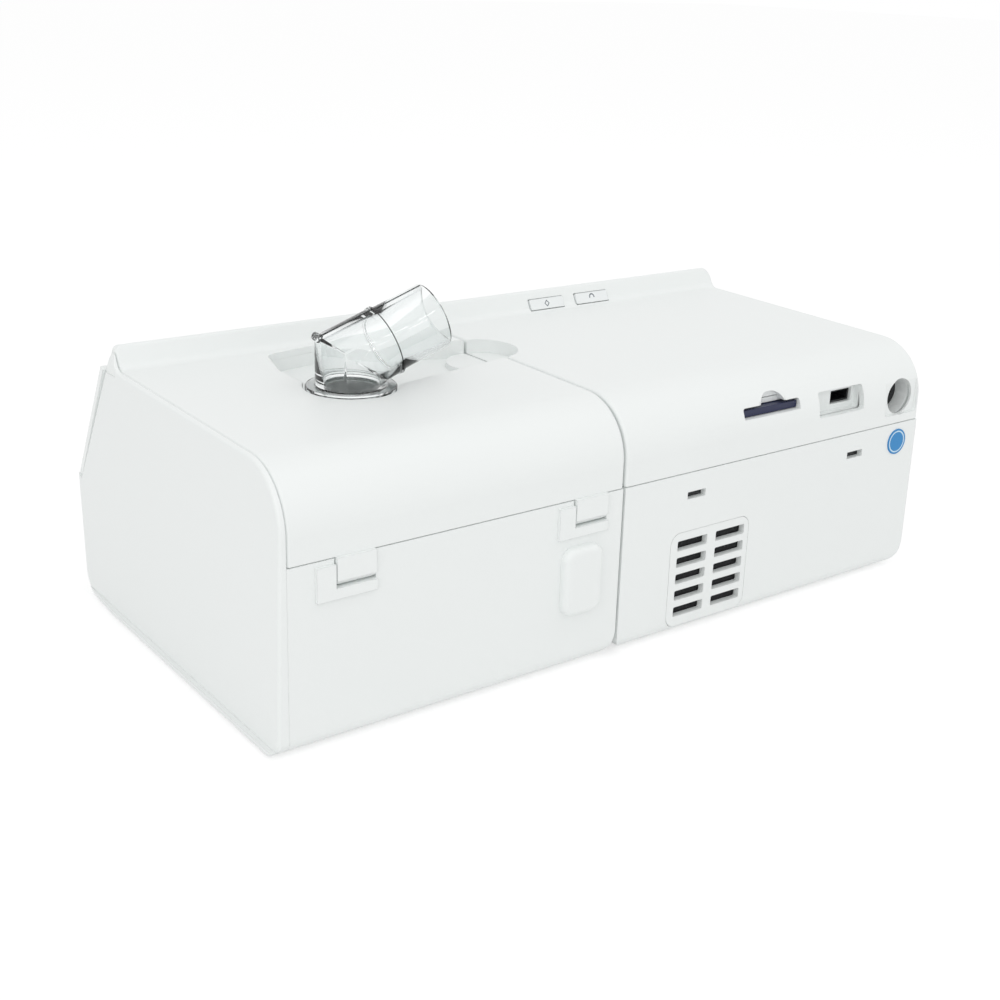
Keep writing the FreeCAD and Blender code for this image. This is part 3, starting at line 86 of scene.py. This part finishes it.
def make_spark_grain():
    """Fine even pits, with a faint clouding of the colour and of the gloss."""
    group, given, result = new_group(
        "spark_grain",
        [("Vector", "NodeSocketVector", None), ("Normal", "NodeSocketVector", None),
         ("Colour", "NodeSocketColor", seen(239, 242, 241)), ("Grain Scale", "NodeSocketFloat", 1700.0),
         ("Grain Depth", "NodeSocketFloat", 0.00001), ("Clouding", "NodeSocketFloat", 0.012),
         ("Roughness", "NodeSocketFloat", 0.42)],
        [("Colour", "NodeSocketColor"), ("Roughness", "NodeSocketFloat"), ("Normal", "NodeSocketVector")])
    link = group.links.new
    pits = group.nodes.new("ShaderNodeTexNoise")
    pits.inputs["Detail"].default_value = 2.0
    link(given.outputs["Vector"], pits.inputs["Vector"])
    link(given.outputs["Grain Scale"], pits.inputs["Scale"])
    relief = group.nodes.new("ShaderNodeBump")
    link(pits.outputs["Fac"], relief.inputs["Height"])
    link(given.outputs["Grain Depth"], relief.inputs["Distance"])
    link(given.outputs["Normal"], relief.inputs["Normal"])
    link(relief.outputs["Normal"], result.inputs["Normal"])
    clouds = group.nodes.new("ShaderNodeTexNoise")
    clouds.inputs["Scale"].default_value = 22.0
    clouds.inputs["Detail"].default_value = 3.0
    link(given.outputs["Vector"], clouds.inputs["Vector"])
    centred = reckon(group, "ShaderNodeMath", "SUBTRACT", clouds.outputs["Fac"], 0.5)
    share = reckon(group, "ShaderNodeMath", "MULTIPLY_ADD",
                   centred.outputs[0], given.outputs["Clouding"], 1.0)
    tint = reckon(group, "ShaderNodeVectorMath", "SCALE", given.outputs["Colour"])
    link(share.outputs[0], tint.inputs["Scale"])
    link(tint.outputs["Vector"], result.inputs["Colour"])
    dull = reckon(group, "ShaderNodeMath", "MULTIPLY_ADD",
                  centred.outputs[0], 0.12, given.outputs["Roughness"])
    link(dull.outputs[0], result.inputs["Roughness"])
    return group


spark_grain = make_spark_grain()


def moulded(name, colour, roughness, edge=0.4 * MM, **grain):
    """A moulded plastic or rubber: grained skin and softened edges."""
    material = bpy.data.materials.new(name)
    material.use_nodes = True
    tree = material.node_tree
    shader = tree.nodes["Principled BSDF"]
    place = tree.nodes.new("ShaderNodeTexCoord")
    soft_edge = tree.nodes.new("ShaderNodeBevel")
    soft_edge.samples = 6
    soft_edge.inputs["Radius"].default_value = edge
    skin = tree.nodes.new("ShaderNodeGroup")
    skin.node_tree = spark_grain
    skin.inputs["Colour"].default_value = colour
    skin.inputs["Roughness"].default_value = roughness
    for label, value in grain.items():
        skin.inputs[label.replace("_", " ").title()].default_value = value
    tree.links.new(place.outputs["Object"], skin.inputs["Vector"])
    tree.links.new(soft_edge.outputs["Normal"], skin.inputs["Normal"])
    tree.links.new(skin.outputs["Colour"], shader.inputs["Base Color"])
    tree.links.new(skin.outputs["Roughness"], shader.inputs["Roughness"])
    tree.links.new(skin.outputs["Normal"], shader.inputs["Normal"])
    return material


def dress(material, *nodes):
    """Give CAD pieces their finish."""
    for node in nodes:
        mesh = frame["nodes"][node].data
        mesh.materials.clear()
        mesh.materials.append(material)


shell_white = moulded("shell_white", seen(239, 242, 241), 0.42, edge=0.3 * MM)
dress(shell_white, "main_base_housing")

# ---------------------------------------------------------------- screws, clips and board
# Four steel screws and two black clips hold the top cover down. The main board lies under
# it, a bare green plate.

clip_black = moulded("clip_black", seen(30, 31, 33), 0.45)
dress(clip_black, "case_clips")


def metal(name, colour, roughness):
    """A plain bright metal part, faintly clouded."""
    material = moulded(name, colour, roughness, grain_depth=0.000004)
    material.node_tree.nodes["Principled BSDF"].inputs["Metallic"].default_value = 1.0
    return material


bright_steel = metal("bright_steel", seen(190, 190, 192), 0.3)
dress(bright_steel, "case_screws", "motor_shaft", "encoder_shaft", "hinge_pins", "power_inlet_pin")
board_green = moulded("board_green", seen(34, 96, 58), 0.35)
dress(board_green, "main_board", "front_board", "key_board", "humidifier_board")

# ---------------------------------------------------------------- blower
# A radial fan in a round housing on three rubber mounts blows through a duct and a
# rubber seal into the humidifier.

seal_black = moulded("seal_black", seen(38, 39, 41), 0.7)
motor_black = moulded("motor_black", seen(40, 40, 43), 0.4)
inner_white = moulded("inner_white", seen(214, 216, 214), 0.5)
dress(inner_white, "blower_lower_housing", "blower_upper_housing", "impeller")
dress(motor_black, "blower_motor", "display_module")
dress(seal_black, "blower_mounts", "duct_seal")

# ---------------------------------------------------------------- air inlet
# The grille is a snap-in door of the same white ABS. Dark filter foam lies behind its
# slots, and a block of muffler foam behind that.

foam_charcoal = moulded("foam_charcoal", seen(30, 31, 33), 0.9, grain_scale=900.0, grain_depth=0.0004,
                        clouding=0.5)
dress(shell_white, "filter_cover")
dress(foam_charcoal, "filter_pad", "muffler_foam", "heater_insulation")

# ---------------------------------------------------------------- top cover
# The cover carries the crest and the three port recesses in one moulding.

dress(shell_white, "main_top_cover")

# ---------------------------------------------------------------- front panel
# The sloping front is a separate plate with a black gloss window, a turning and pushing
# knob and a round home button. Two small keys on the back of the crest carry a printed line.

KEY_COLOUR = seen(238, 241, 241)
LINE_HALF = 0.25 * MM
FACE_BELOW_TOP = 1.9 * MM
panel_white = moulded("panel_white", seen(240, 243, 242), 0.34)
window_black = moulded("window_black", seen(14, 15, 18), 0.08, grain_depth=0.0)
knob_grey = moulded("knob_grey", seen(196, 200, 204), 0.32)
key_white = moulded("key_white", KEY_COLOUR, 0.34)
port_black = moulded("port_black", seen(26, 27, 29), 0.45)
dress(panel_white, "front_panel")
dress(window_black, "display_window")
dress(knob_grey, "control_knob")
dress(key_white, "home_button")


def print_on(material, share, ground, ink):
    """Mix ink into a material's colour wherever the share is 1."""
    tree = material.node_tree
    colour = tree.nodes.new("ShaderNodeMix")
    colour.data_type = "RGBA"
    colour.inputs["A"].default_value = ground
    colour.inputs["B"].default_value = ink
    tree.links.new(share, colour.inputs["Factor"])
    tree.links.new(colour.outputs["Result"], tree.nodes["Group"].inputs["Colour"])


def marked_key(name, node, measure, reach, lowest):
    """A key with a fine grey line printed on its face: a diamond or an arc."""
    low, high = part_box(node)
    middle = ((low[0] + high[0]) / 2, 0, high[2] - FACE_BELOW_TOP)
    material = moulded(name, KEY_COLOUR, 0.34)
    tree = material.node_tree
    place = tree.nodes.new("ShaderNodeTexCoord").outputs["Object"]
    offset = reckon(tree, "ShaderNodeVectorMath", "SUBTRACT", place, middle)
    flat = reckon(tree, "ShaderNodeVectorMath", "MULTIPLY", offset.outputs["Vector"], (1, 0, 1))
    folded = reckon(tree, "ShaderNodeVectorMath", "ABSOLUTE", flat.outputs["Vector"])
    way_out = reckon(tree, "ShaderNodeVectorMath", measure, folded.outputs["Vector"], (1, 1, 1))
    on_line = reckon(tree, "ShaderNodeMath", "COMPARE", way_out.outputs["Value"], reach, LINE_HALF)
    height = tree.nodes.new("ShaderNodeSeparateXYZ")
    tree.links.new(flat.outputs["Vector"], height.inputs[0])
    high_enough = reckon(tree, "ShaderNodeMath", "GREATER_THAN", height.outputs["Z"], lowest)
    ink = reckon(tree, "ShaderNodeMath", "MULTIPLY", on_line.outputs[0], high_enough.outputs[0])
    print_on(material, ink.outputs[0], KEY_COLOUR, seen(120, 126, 132))
    dress(material, node)


marked_key("start_key", "start_button", "DOT_PRODUCT", 1.0 * MM, -3.0 * MM)
marked_key("ramp_key", "ramp_button", "LENGTH", 1.1 * MM, -0.2 * MM)
dress(port_black, "rotary_encoder", "home_switch")

# ---------------------------------------------------------------- rear ports and card
# A navy memory card sits in the first recess, a data port in the second and a barrel
# power inlet in the third.

card_navy = moulded("card_navy", seen(16, 26, 66), 0.34)
dress(card_navy, "memory_card")
dress(port_black, "card_socket", "comm_port", "power_inlet")

# ---------------------------------------------------------------- round label
# A plain blue film disc with a thin pale ring inside its edge.

LABEL_COLOUR = seen(30, 132, 196)
RING_RADIUS = 3.9 * MM
label_blue = moulded("label_blue", LABEL_COLOUR, 0.3)
label_low, label_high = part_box("label_disc")
label_middle = (Vector(label_low) + Vector(label_high)) / 2
label_tree = label_blue.node_tree
label_place = label_tree.nodes.new("ShaderNodeTexCoord").outputs["Object"]
from_middle = reckon(label_tree, "ShaderNodeVectorMath", "DISTANCE", label_place, label_middle)
on_ring = reckon(label_tree, "ShaderNodeMath", "COMPARE",
                 from_middle.outputs["Value"], RING_RADIUS, LINE_HALF)
print_on(label_blue, on_ring.outputs[0], LABEL_COLOUR, seen(196, 222, 238))
dress(label_blue, "label_disc")

# ---------------------------------------------------------------- feet
# Grey rubber discs in shallow pockets of both floors.

foot_grey = moulded("foot_grey", seen(168, 170, 172), 0.75)
dress(foot_grey, "main_feet", "humidifier_feet")

# ---------------------------------------------------------------- humidifier case
# A tray, an end cap over the whole profile, and a lid that swings up on two rear hinges.
# The elbow turns on a pale silicone ring; the other seals are black rubber.

dress(shell_white, "humidifier_base", "end_cap", "humidifier_lid", "accessory_cover")
dress(panel_white, "humidifier_front_panel")
dress(key_white, "release_button")
dress(port_black, "accessory_socket")
dress(seal_black, "outlet_gasket", "tank_seal")
silicone_pale = moulded("silicone_pale", seen(176, 182, 181), 0.5)
dress(silicone_pale, "elbow_seal")

# ---------------------------------------------------------------- water tank and heater
# A clear tank with a clear lid stands on a brushed aluminium heater plate.

heater_metal = metal("heater_metal", seen(176, 178, 180), 0.36)
dress(heater_metal, "heater_plate")


def clear(name, tint, rim_shade, roughness):
    """Clear plastic whose colour greys towards its rims and steep sides: painted shade for the dark edge
    lines of clear walls.
    """
    material = bpy.data.materials.new(name)
    material.use_nodes = True
    tree = material.node_tree
    shader = tree.nodes["Principled BSDF"]
    shader.inputs["Transmission Weight"].default_value = 1.0
    shader.inputs["IOR"].default_value = 1.5
    shader.inputs["Roughness"].default_value = roughness
    # Painted shade: the colour is mixed towards the rim shade where the surface turns away from the eye.
    facing = tree.nodes.new("ShaderNodeLayerWeight")
    facing.inputs["Blend"].default_value = 0.35
    colour = tree.nodes.new("ShaderNodeMix")
    colour.data_type = "RGBA"
    colour.inputs["A"].default_value = tint
    colour.inputs["B"].default_value = rim_shade
    tree.links.new(facing.outputs["Facing"], colour.inputs["Factor"])
    tree.links.new(colour.outputs["Result"], shader.inputs["Base Color"])
    return material


# The tank's rims and steep sides get painted shade from this grey rim colour.
tank_clear = clear("tank_clear", seen(240, 246, 250), seen(196, 212, 224), 0.05)
dress(tank_clear, "water_tank", "tank_lid")

# ---------------------------------------------------------------- outlet elbow
# One clear moulding: a spigot that turns in the lid, a flange, a riser, and a spout that
# leaves it on a mitre and ends in a 22 mm hose cuff behind a raised bead.

swivel = next(joint for joint in frame["joints"] if joint["name"] == "elbow_swivel")
BEND_HEIGHT = 94.5 * MM
RISER_RADIUS = 11.4
CUFF_RADIUS = 11.0
SPOUT_RISE = math.radians(21)
SPOUT_TURN = math.radians(5)
bend = Vector((swivel["pos_m"][0], swivel["pos_m"][1], BEND_HEIGHT))
upwards = Vector((0, 0, 1))
along = Vector((-math.cos(SPOUT_RISE) * math.cos(SPOUT_TURN),
                math.cos(SPOUT_RISE) * math.sin(SPOUT_TURN), math.sin(SPOUT_RISE)))
mitre = (upwards + along).normalized()


def riser_ring(below, radius):
    """Where a unit circle goes to be a ring of the riser, a distance below the bend."""
    level = Matrix.Translation(bend - upwards * below * MM)
    return level @ Matrix.Diagonal((radius * MM, radius * MM, MM, 1))


def spout_ring(beyond, radius):
    """The spout is the riser's mirror image in the mitre."""
    mirror = Matrix.Translation(bend) @ Matrix.Scale(-1, 4, mitre) @ Matrix.Translation(-bend)
    return mirror @ riser_ring(beyond, radius)


def mitre_ring(radius):
    """The slanting ring that riser and spout share."""
    lean = Matrix.Identity(4)
    lean[2][0] = -mitre.x / mitre.z
    lean[2][1] = -mitre.y / mitre.z
    flat = Matrix.Diagonal((radius * MM, radius * MM, radius * MM, 1))
    return Matrix.Translation(bend) @ lean @ flat


def finish_piece(name, shape):
    """Turn a bmesh into an object, smooth except at its sharp edges."""
    mesh = bpy.data.meshes.new(name)
    shape.to_mesh(mesh)
    shape.free()
    for face in mesh.polygons:
        face.use_smooth = True
    mesh.set_sharp_from_angle(angle=math.radians(35))
    piece = bpy.data.objects.new(name, mesh)
    bpy.context.scene.collection.objects.link(piece)
    return piece


def carried_ring(name, stations):
    """A closed wall: one ring is carried through the stations, and its ends are bridged."""
    shape = bmesh.new()
    bmesh.ops.create_circle(shape, segments=112, radius=1, matrix=stations[0])
    first = shape.edges[:]
    edges = first
    for before, after in zip(stations, stations[1:]):
        grown = bmesh.ops.extrude_edge_only(shape, edges=edges)["geom"]
        ring = {item for item in grown if isinstance(item, bmesh.types.BMVert)}
        edges = [item for item in grown
                 if isinstance(item, bmesh.types.BMEdge) and set(item.verts) <= ring]
        bmesh.ops.transform(shape, matrix=after @ before.inverted(), verts=list(ring))
    bmesh.ops.bridge_loops(shape, edges=first + edges)
    bmesh.ops.recalc_face_normals(shape, faces=shape.faces[:])
    return finish_piece(name, shape)


elbow = carried_ring("clear_elbow", [
    riser_ring(22.5, 9.9), riser_ring(22.2, 10.2), riser_ring(10.0, 10.2),
    riser_ring(10.0, 14.2), riser_ring(9.6, 14.6), riser_ring(8.8, 14.6), riser_ring(8.4, 14.2),
    riser_ring(8.4, 11.7), riser_ring(8.1, RISER_RADIUS),
    mitre_ring(RISER_RADIUS),
    spout_ring(11.9, RISER_RADIUS), spout_ring(12.1, 11.75),
    spout_ring(12.7, 11.75), spout_ring(13.0, CUFF_RADIUS),
    spout_ring(30.4, CUFF_RADIUS), spout_ring(30.9, 10.7), spout_ring(31.0, 10.3),
    spout_ring(31.0, 9.6), spout_ring(30.6, 9.2), spout_ring(13.6, 9.2), spout_ring(12.6, 9.6),
    mitre_ring(9.6),
    riser_ring(9.0, 9.6), riser_ring(11.5, 8.4), riser_ring(22.2, 8.4), riser_ring(22.5, 8.7),
])
# The elbow's rims and steep sides get painted shade from this grey rim colour.
clear_plastic = clear("clear_plastic", seen(254, 255, 255), seen(232, 238, 238), 0.02)
elbow.data.materials.append(clear_plastic)

# Dark strips along the top of the riser and spout are painted shade for the dark lines that the clear
# tube's top shows. The mould's gate leaves a stub on the corner.
spout_top = (upwards - along * upwards.dot(along)).normalized()
corner_back = -RISER_RADIUS * spout_top.dot(mitre) / along.dot(mitre)
spout_frame = Matrix((along, spout_top.cross(along), spout_top)).transposed().to_4x4()


def shade_line_ridge(name, start, end, radius, width):
    """A stretch of dark strip, painted shade on the top line of a tube of the given radius."""
    shape = bmesh.new()
    middle = bend + along * (start + end) / 2 * MM + spout_top * radius * MM
    size = Matrix.Diagonal(((end - start) * MM, width * MM, 0.5 * MM, 1))
    bmesh.ops.create_cube(shape, size=1, matrix=Matrix.Translation(middle) @ spout_frame @ size)
    bmesh.ops.bevel(shape, geom=shape.edges[:], offset=0.12 * MM, segments=2, profile=0.5,
                    affect="EDGES", material=-1)
    bmesh.ops.recalc_face_normals(shape, faces=shape.faces[:])
    return finish_piece(name, shape)


# Painted shade: a dark grey clear plastic for the strips on the tube's top.
shade_line_glass = clear("shade_line_glass", seen(120, 126, 126), seen(60, 64, 64), 0.2)
near_shade_ridge = shade_line_ridge("near_shade_ridge", corner_back, 11.8, RISER_RADIUS, 0.9)
far_shade_ridge = shade_line_ridge("far_shade_ridge", 13.0, 30.2, CUFF_RADIUS, 0.4)
nub_shape = bmesh.new()
nub_axis = (spout_top + Vector((1, 0, 0))).normalized()
nub_place = bend + along * corner_back * MM + spout_top * RISER_RADIUS * MM + nub_axis * 0.4 * MM
nub_turn = nub_axis.to_track_quat("Z", "Y").to_matrix().to_4x4()
bmesh.ops.create_cone(nub_shape, cap_ends=True, segments=32, radius1=1.6 * MM, radius2=1.2 * MM,
                      depth=2.4 * MM, matrix=Matrix.Translation(nub_place) @ nub_turn)
bmesh.ops.recalc_face_normals(nub_shape, faces=nub_shape.faces[:])
gate_nub = finish_piece("gate_nub", nub_shape)
for ridge in (near_shade_ridge, far_shade_ridge):
    ridge.data.materials.append(shade_line_glass)
gate_nub.data.materials.append(clear_plastic)
for piece in (elbow, near_shade_ridge, far_shade_ridge, gate_nub):
    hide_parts("outlet_elbow")
    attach(piece, "elbow")

# ---------------------------------------------------------------- floor, light and camera
# The machine stands on a plain pale floor under soft, even light.

floor_mesh = bpy.data.meshes.new("floor")
floor_shape = bmesh.new()
bmesh.ops.create_grid(floor_shape, x_segments=1, y_segments=1, size=6.0)
floor_shape.to_mesh(floor_mesh)
floor_shape.free()
floor = bpy.data.objects.new("floor", floor_mesh)
bpy.context.scene.collection.objects.link(floor)


def white_where_seen(tree, dim, full, output):
    """Plain light for the object, and clean white for the eye, gloss and clear plastic."""
    path = tree.nodes.new("ShaderNodeLightPath").outputs
    either = reckon(tree, "ShaderNodeMath", "MAXIMUM", path["Is Camera Ray"], path["Is Glossy Ray"])
    any_seen = reckon(tree, "ShaderNodeMath", "MAXIMUM", either.outputs[0], path["Is Transmission Ray"])
    mix = tree.nodes.new("ShaderNodeMixShader")
    tree.links.new(any_seen.outputs[0], mix.inputs[0])
    tree.links.new(dim.outputs[0], mix.inputs[1])
    tree.links.new(full.outputs[0], mix.inputs[2])
    tree.links.new(mix.outputs[0], output.inputs["Surface"])


floor_white = bpy.data.materials.new("floor_white")
floor_white.use_nodes = True
floor_tree = floor_white.node_tree
floor_tree.nodes.remove(floor_tree.nodes["Principled BSDF"])
paper = floor_tree.nodes.new("ShaderNodeBsdfDiffuse")
paper.inputs["Color"].default_value = (0.87, 0.87, 0.87, 1)
thin_paper = floor_tree.nodes.new("ShaderNodeBsdfDiffuse")
thin_paper.inputs["Color"].default_value = (0.5, 0.5, 0.5, 1)
glow = floor_tree.nodes.new("ShaderNodeEmission")
glow.inputs["Strength"].default_value = 0.58
lit_paper = floor_tree.nodes.new("ShaderNodeAddShader")
floor_tree.links.new(thin_paper.outputs[0], lit_paper.inputs[0])
floor_tree.links.new(glow.outputs[0], lit_paper.inputs[1])
white_where_seen(floor_tree, paper, lit_paper, floor_tree.nodes["Material Output"])
floor_mesh.materials.append(floor_white)

world = bpy.data.worlds.new("even_light")
bpy.context.scene.world = world
world.use_nodes = True
sky = world.node_tree.nodes["Background"]
sky.inputs["Strength"].default_value = 0.81
bright_sky = world.node_tree.nodes.new("ShaderNodeBackground")
bright_sky.inputs["Strength"].default_value = 1.0
for background in (sky, bright_sky):
    background.inputs["Color"].default_value = (1, 1, 1, 1)
white_where_seen(world.node_tree, sky, bright_sky, world.node_tree.nodes["World Output"])


def soft_box(name, place, aim, width, watts, height=None):
    """A square or long lamp that faces a point."""
    lamp = bpy.data.lights.new(name, "AREA")
    lamp.shape = "RECTANGLE"
    lamp.size = width
    lamp.size_y = height or width
    lamp.energy = watts
    holder = bpy.data.objects.new(name, lamp)
    holder.location = place
    holder.rotation_euler = (Vector(aim) - Vector(place)).to_track_quat("-Z", "Y").to_euler()
    bpy.context.scene.collection.objects.link(holder)


case_middle = (0, 0, 0.05)
soft_box("overhead_lamp", (-0.3, 0.35, 1.3), case_middle, 1.0, 1.6)
soft_box("rear_fill", (1.0, 0.8, 0.7), case_middle, 1.0, 3.0)
soft_box("strip_lamp", bend + Vector((-0.088, 0.815, 0.572)), bend, 0.3, 0.3, 0.04)

# Light crosses many walls of the clear elbow on its way through.
paths = bpy.context.scene.cycles
paths.max_bounces = 24
paths.transmission_bounces = 24
paths.diffuse_bounces = 8

camera = bpy.data.objects.new("camera", bpy.data.cameras.new("camera"))
camera.data.sensor_width = 36
camera.data.lens = 52.567
camera.data.shift_y = -0.05
eye_right = Vector((-0.80547826, 0.59189374, 0.02943753))
eye_forward = Vector((-0.56871109, -0.75805211, -0.31925648))
eye_up = eye_right.cross(eye_forward)
turn = Matrix((eye_right, eye_up, -eye_forward)).transposed().to_4x4()
camera.matrix_world = Matrix.Translation(Vector((301.532, 394.519, 214.745)) * MM) @ turn
bpy.context.scene.collection.objects.link(camera)
bpy.context.scene.camera = camera
bpy.context.scene.view_settings.view_transform = "Standard"
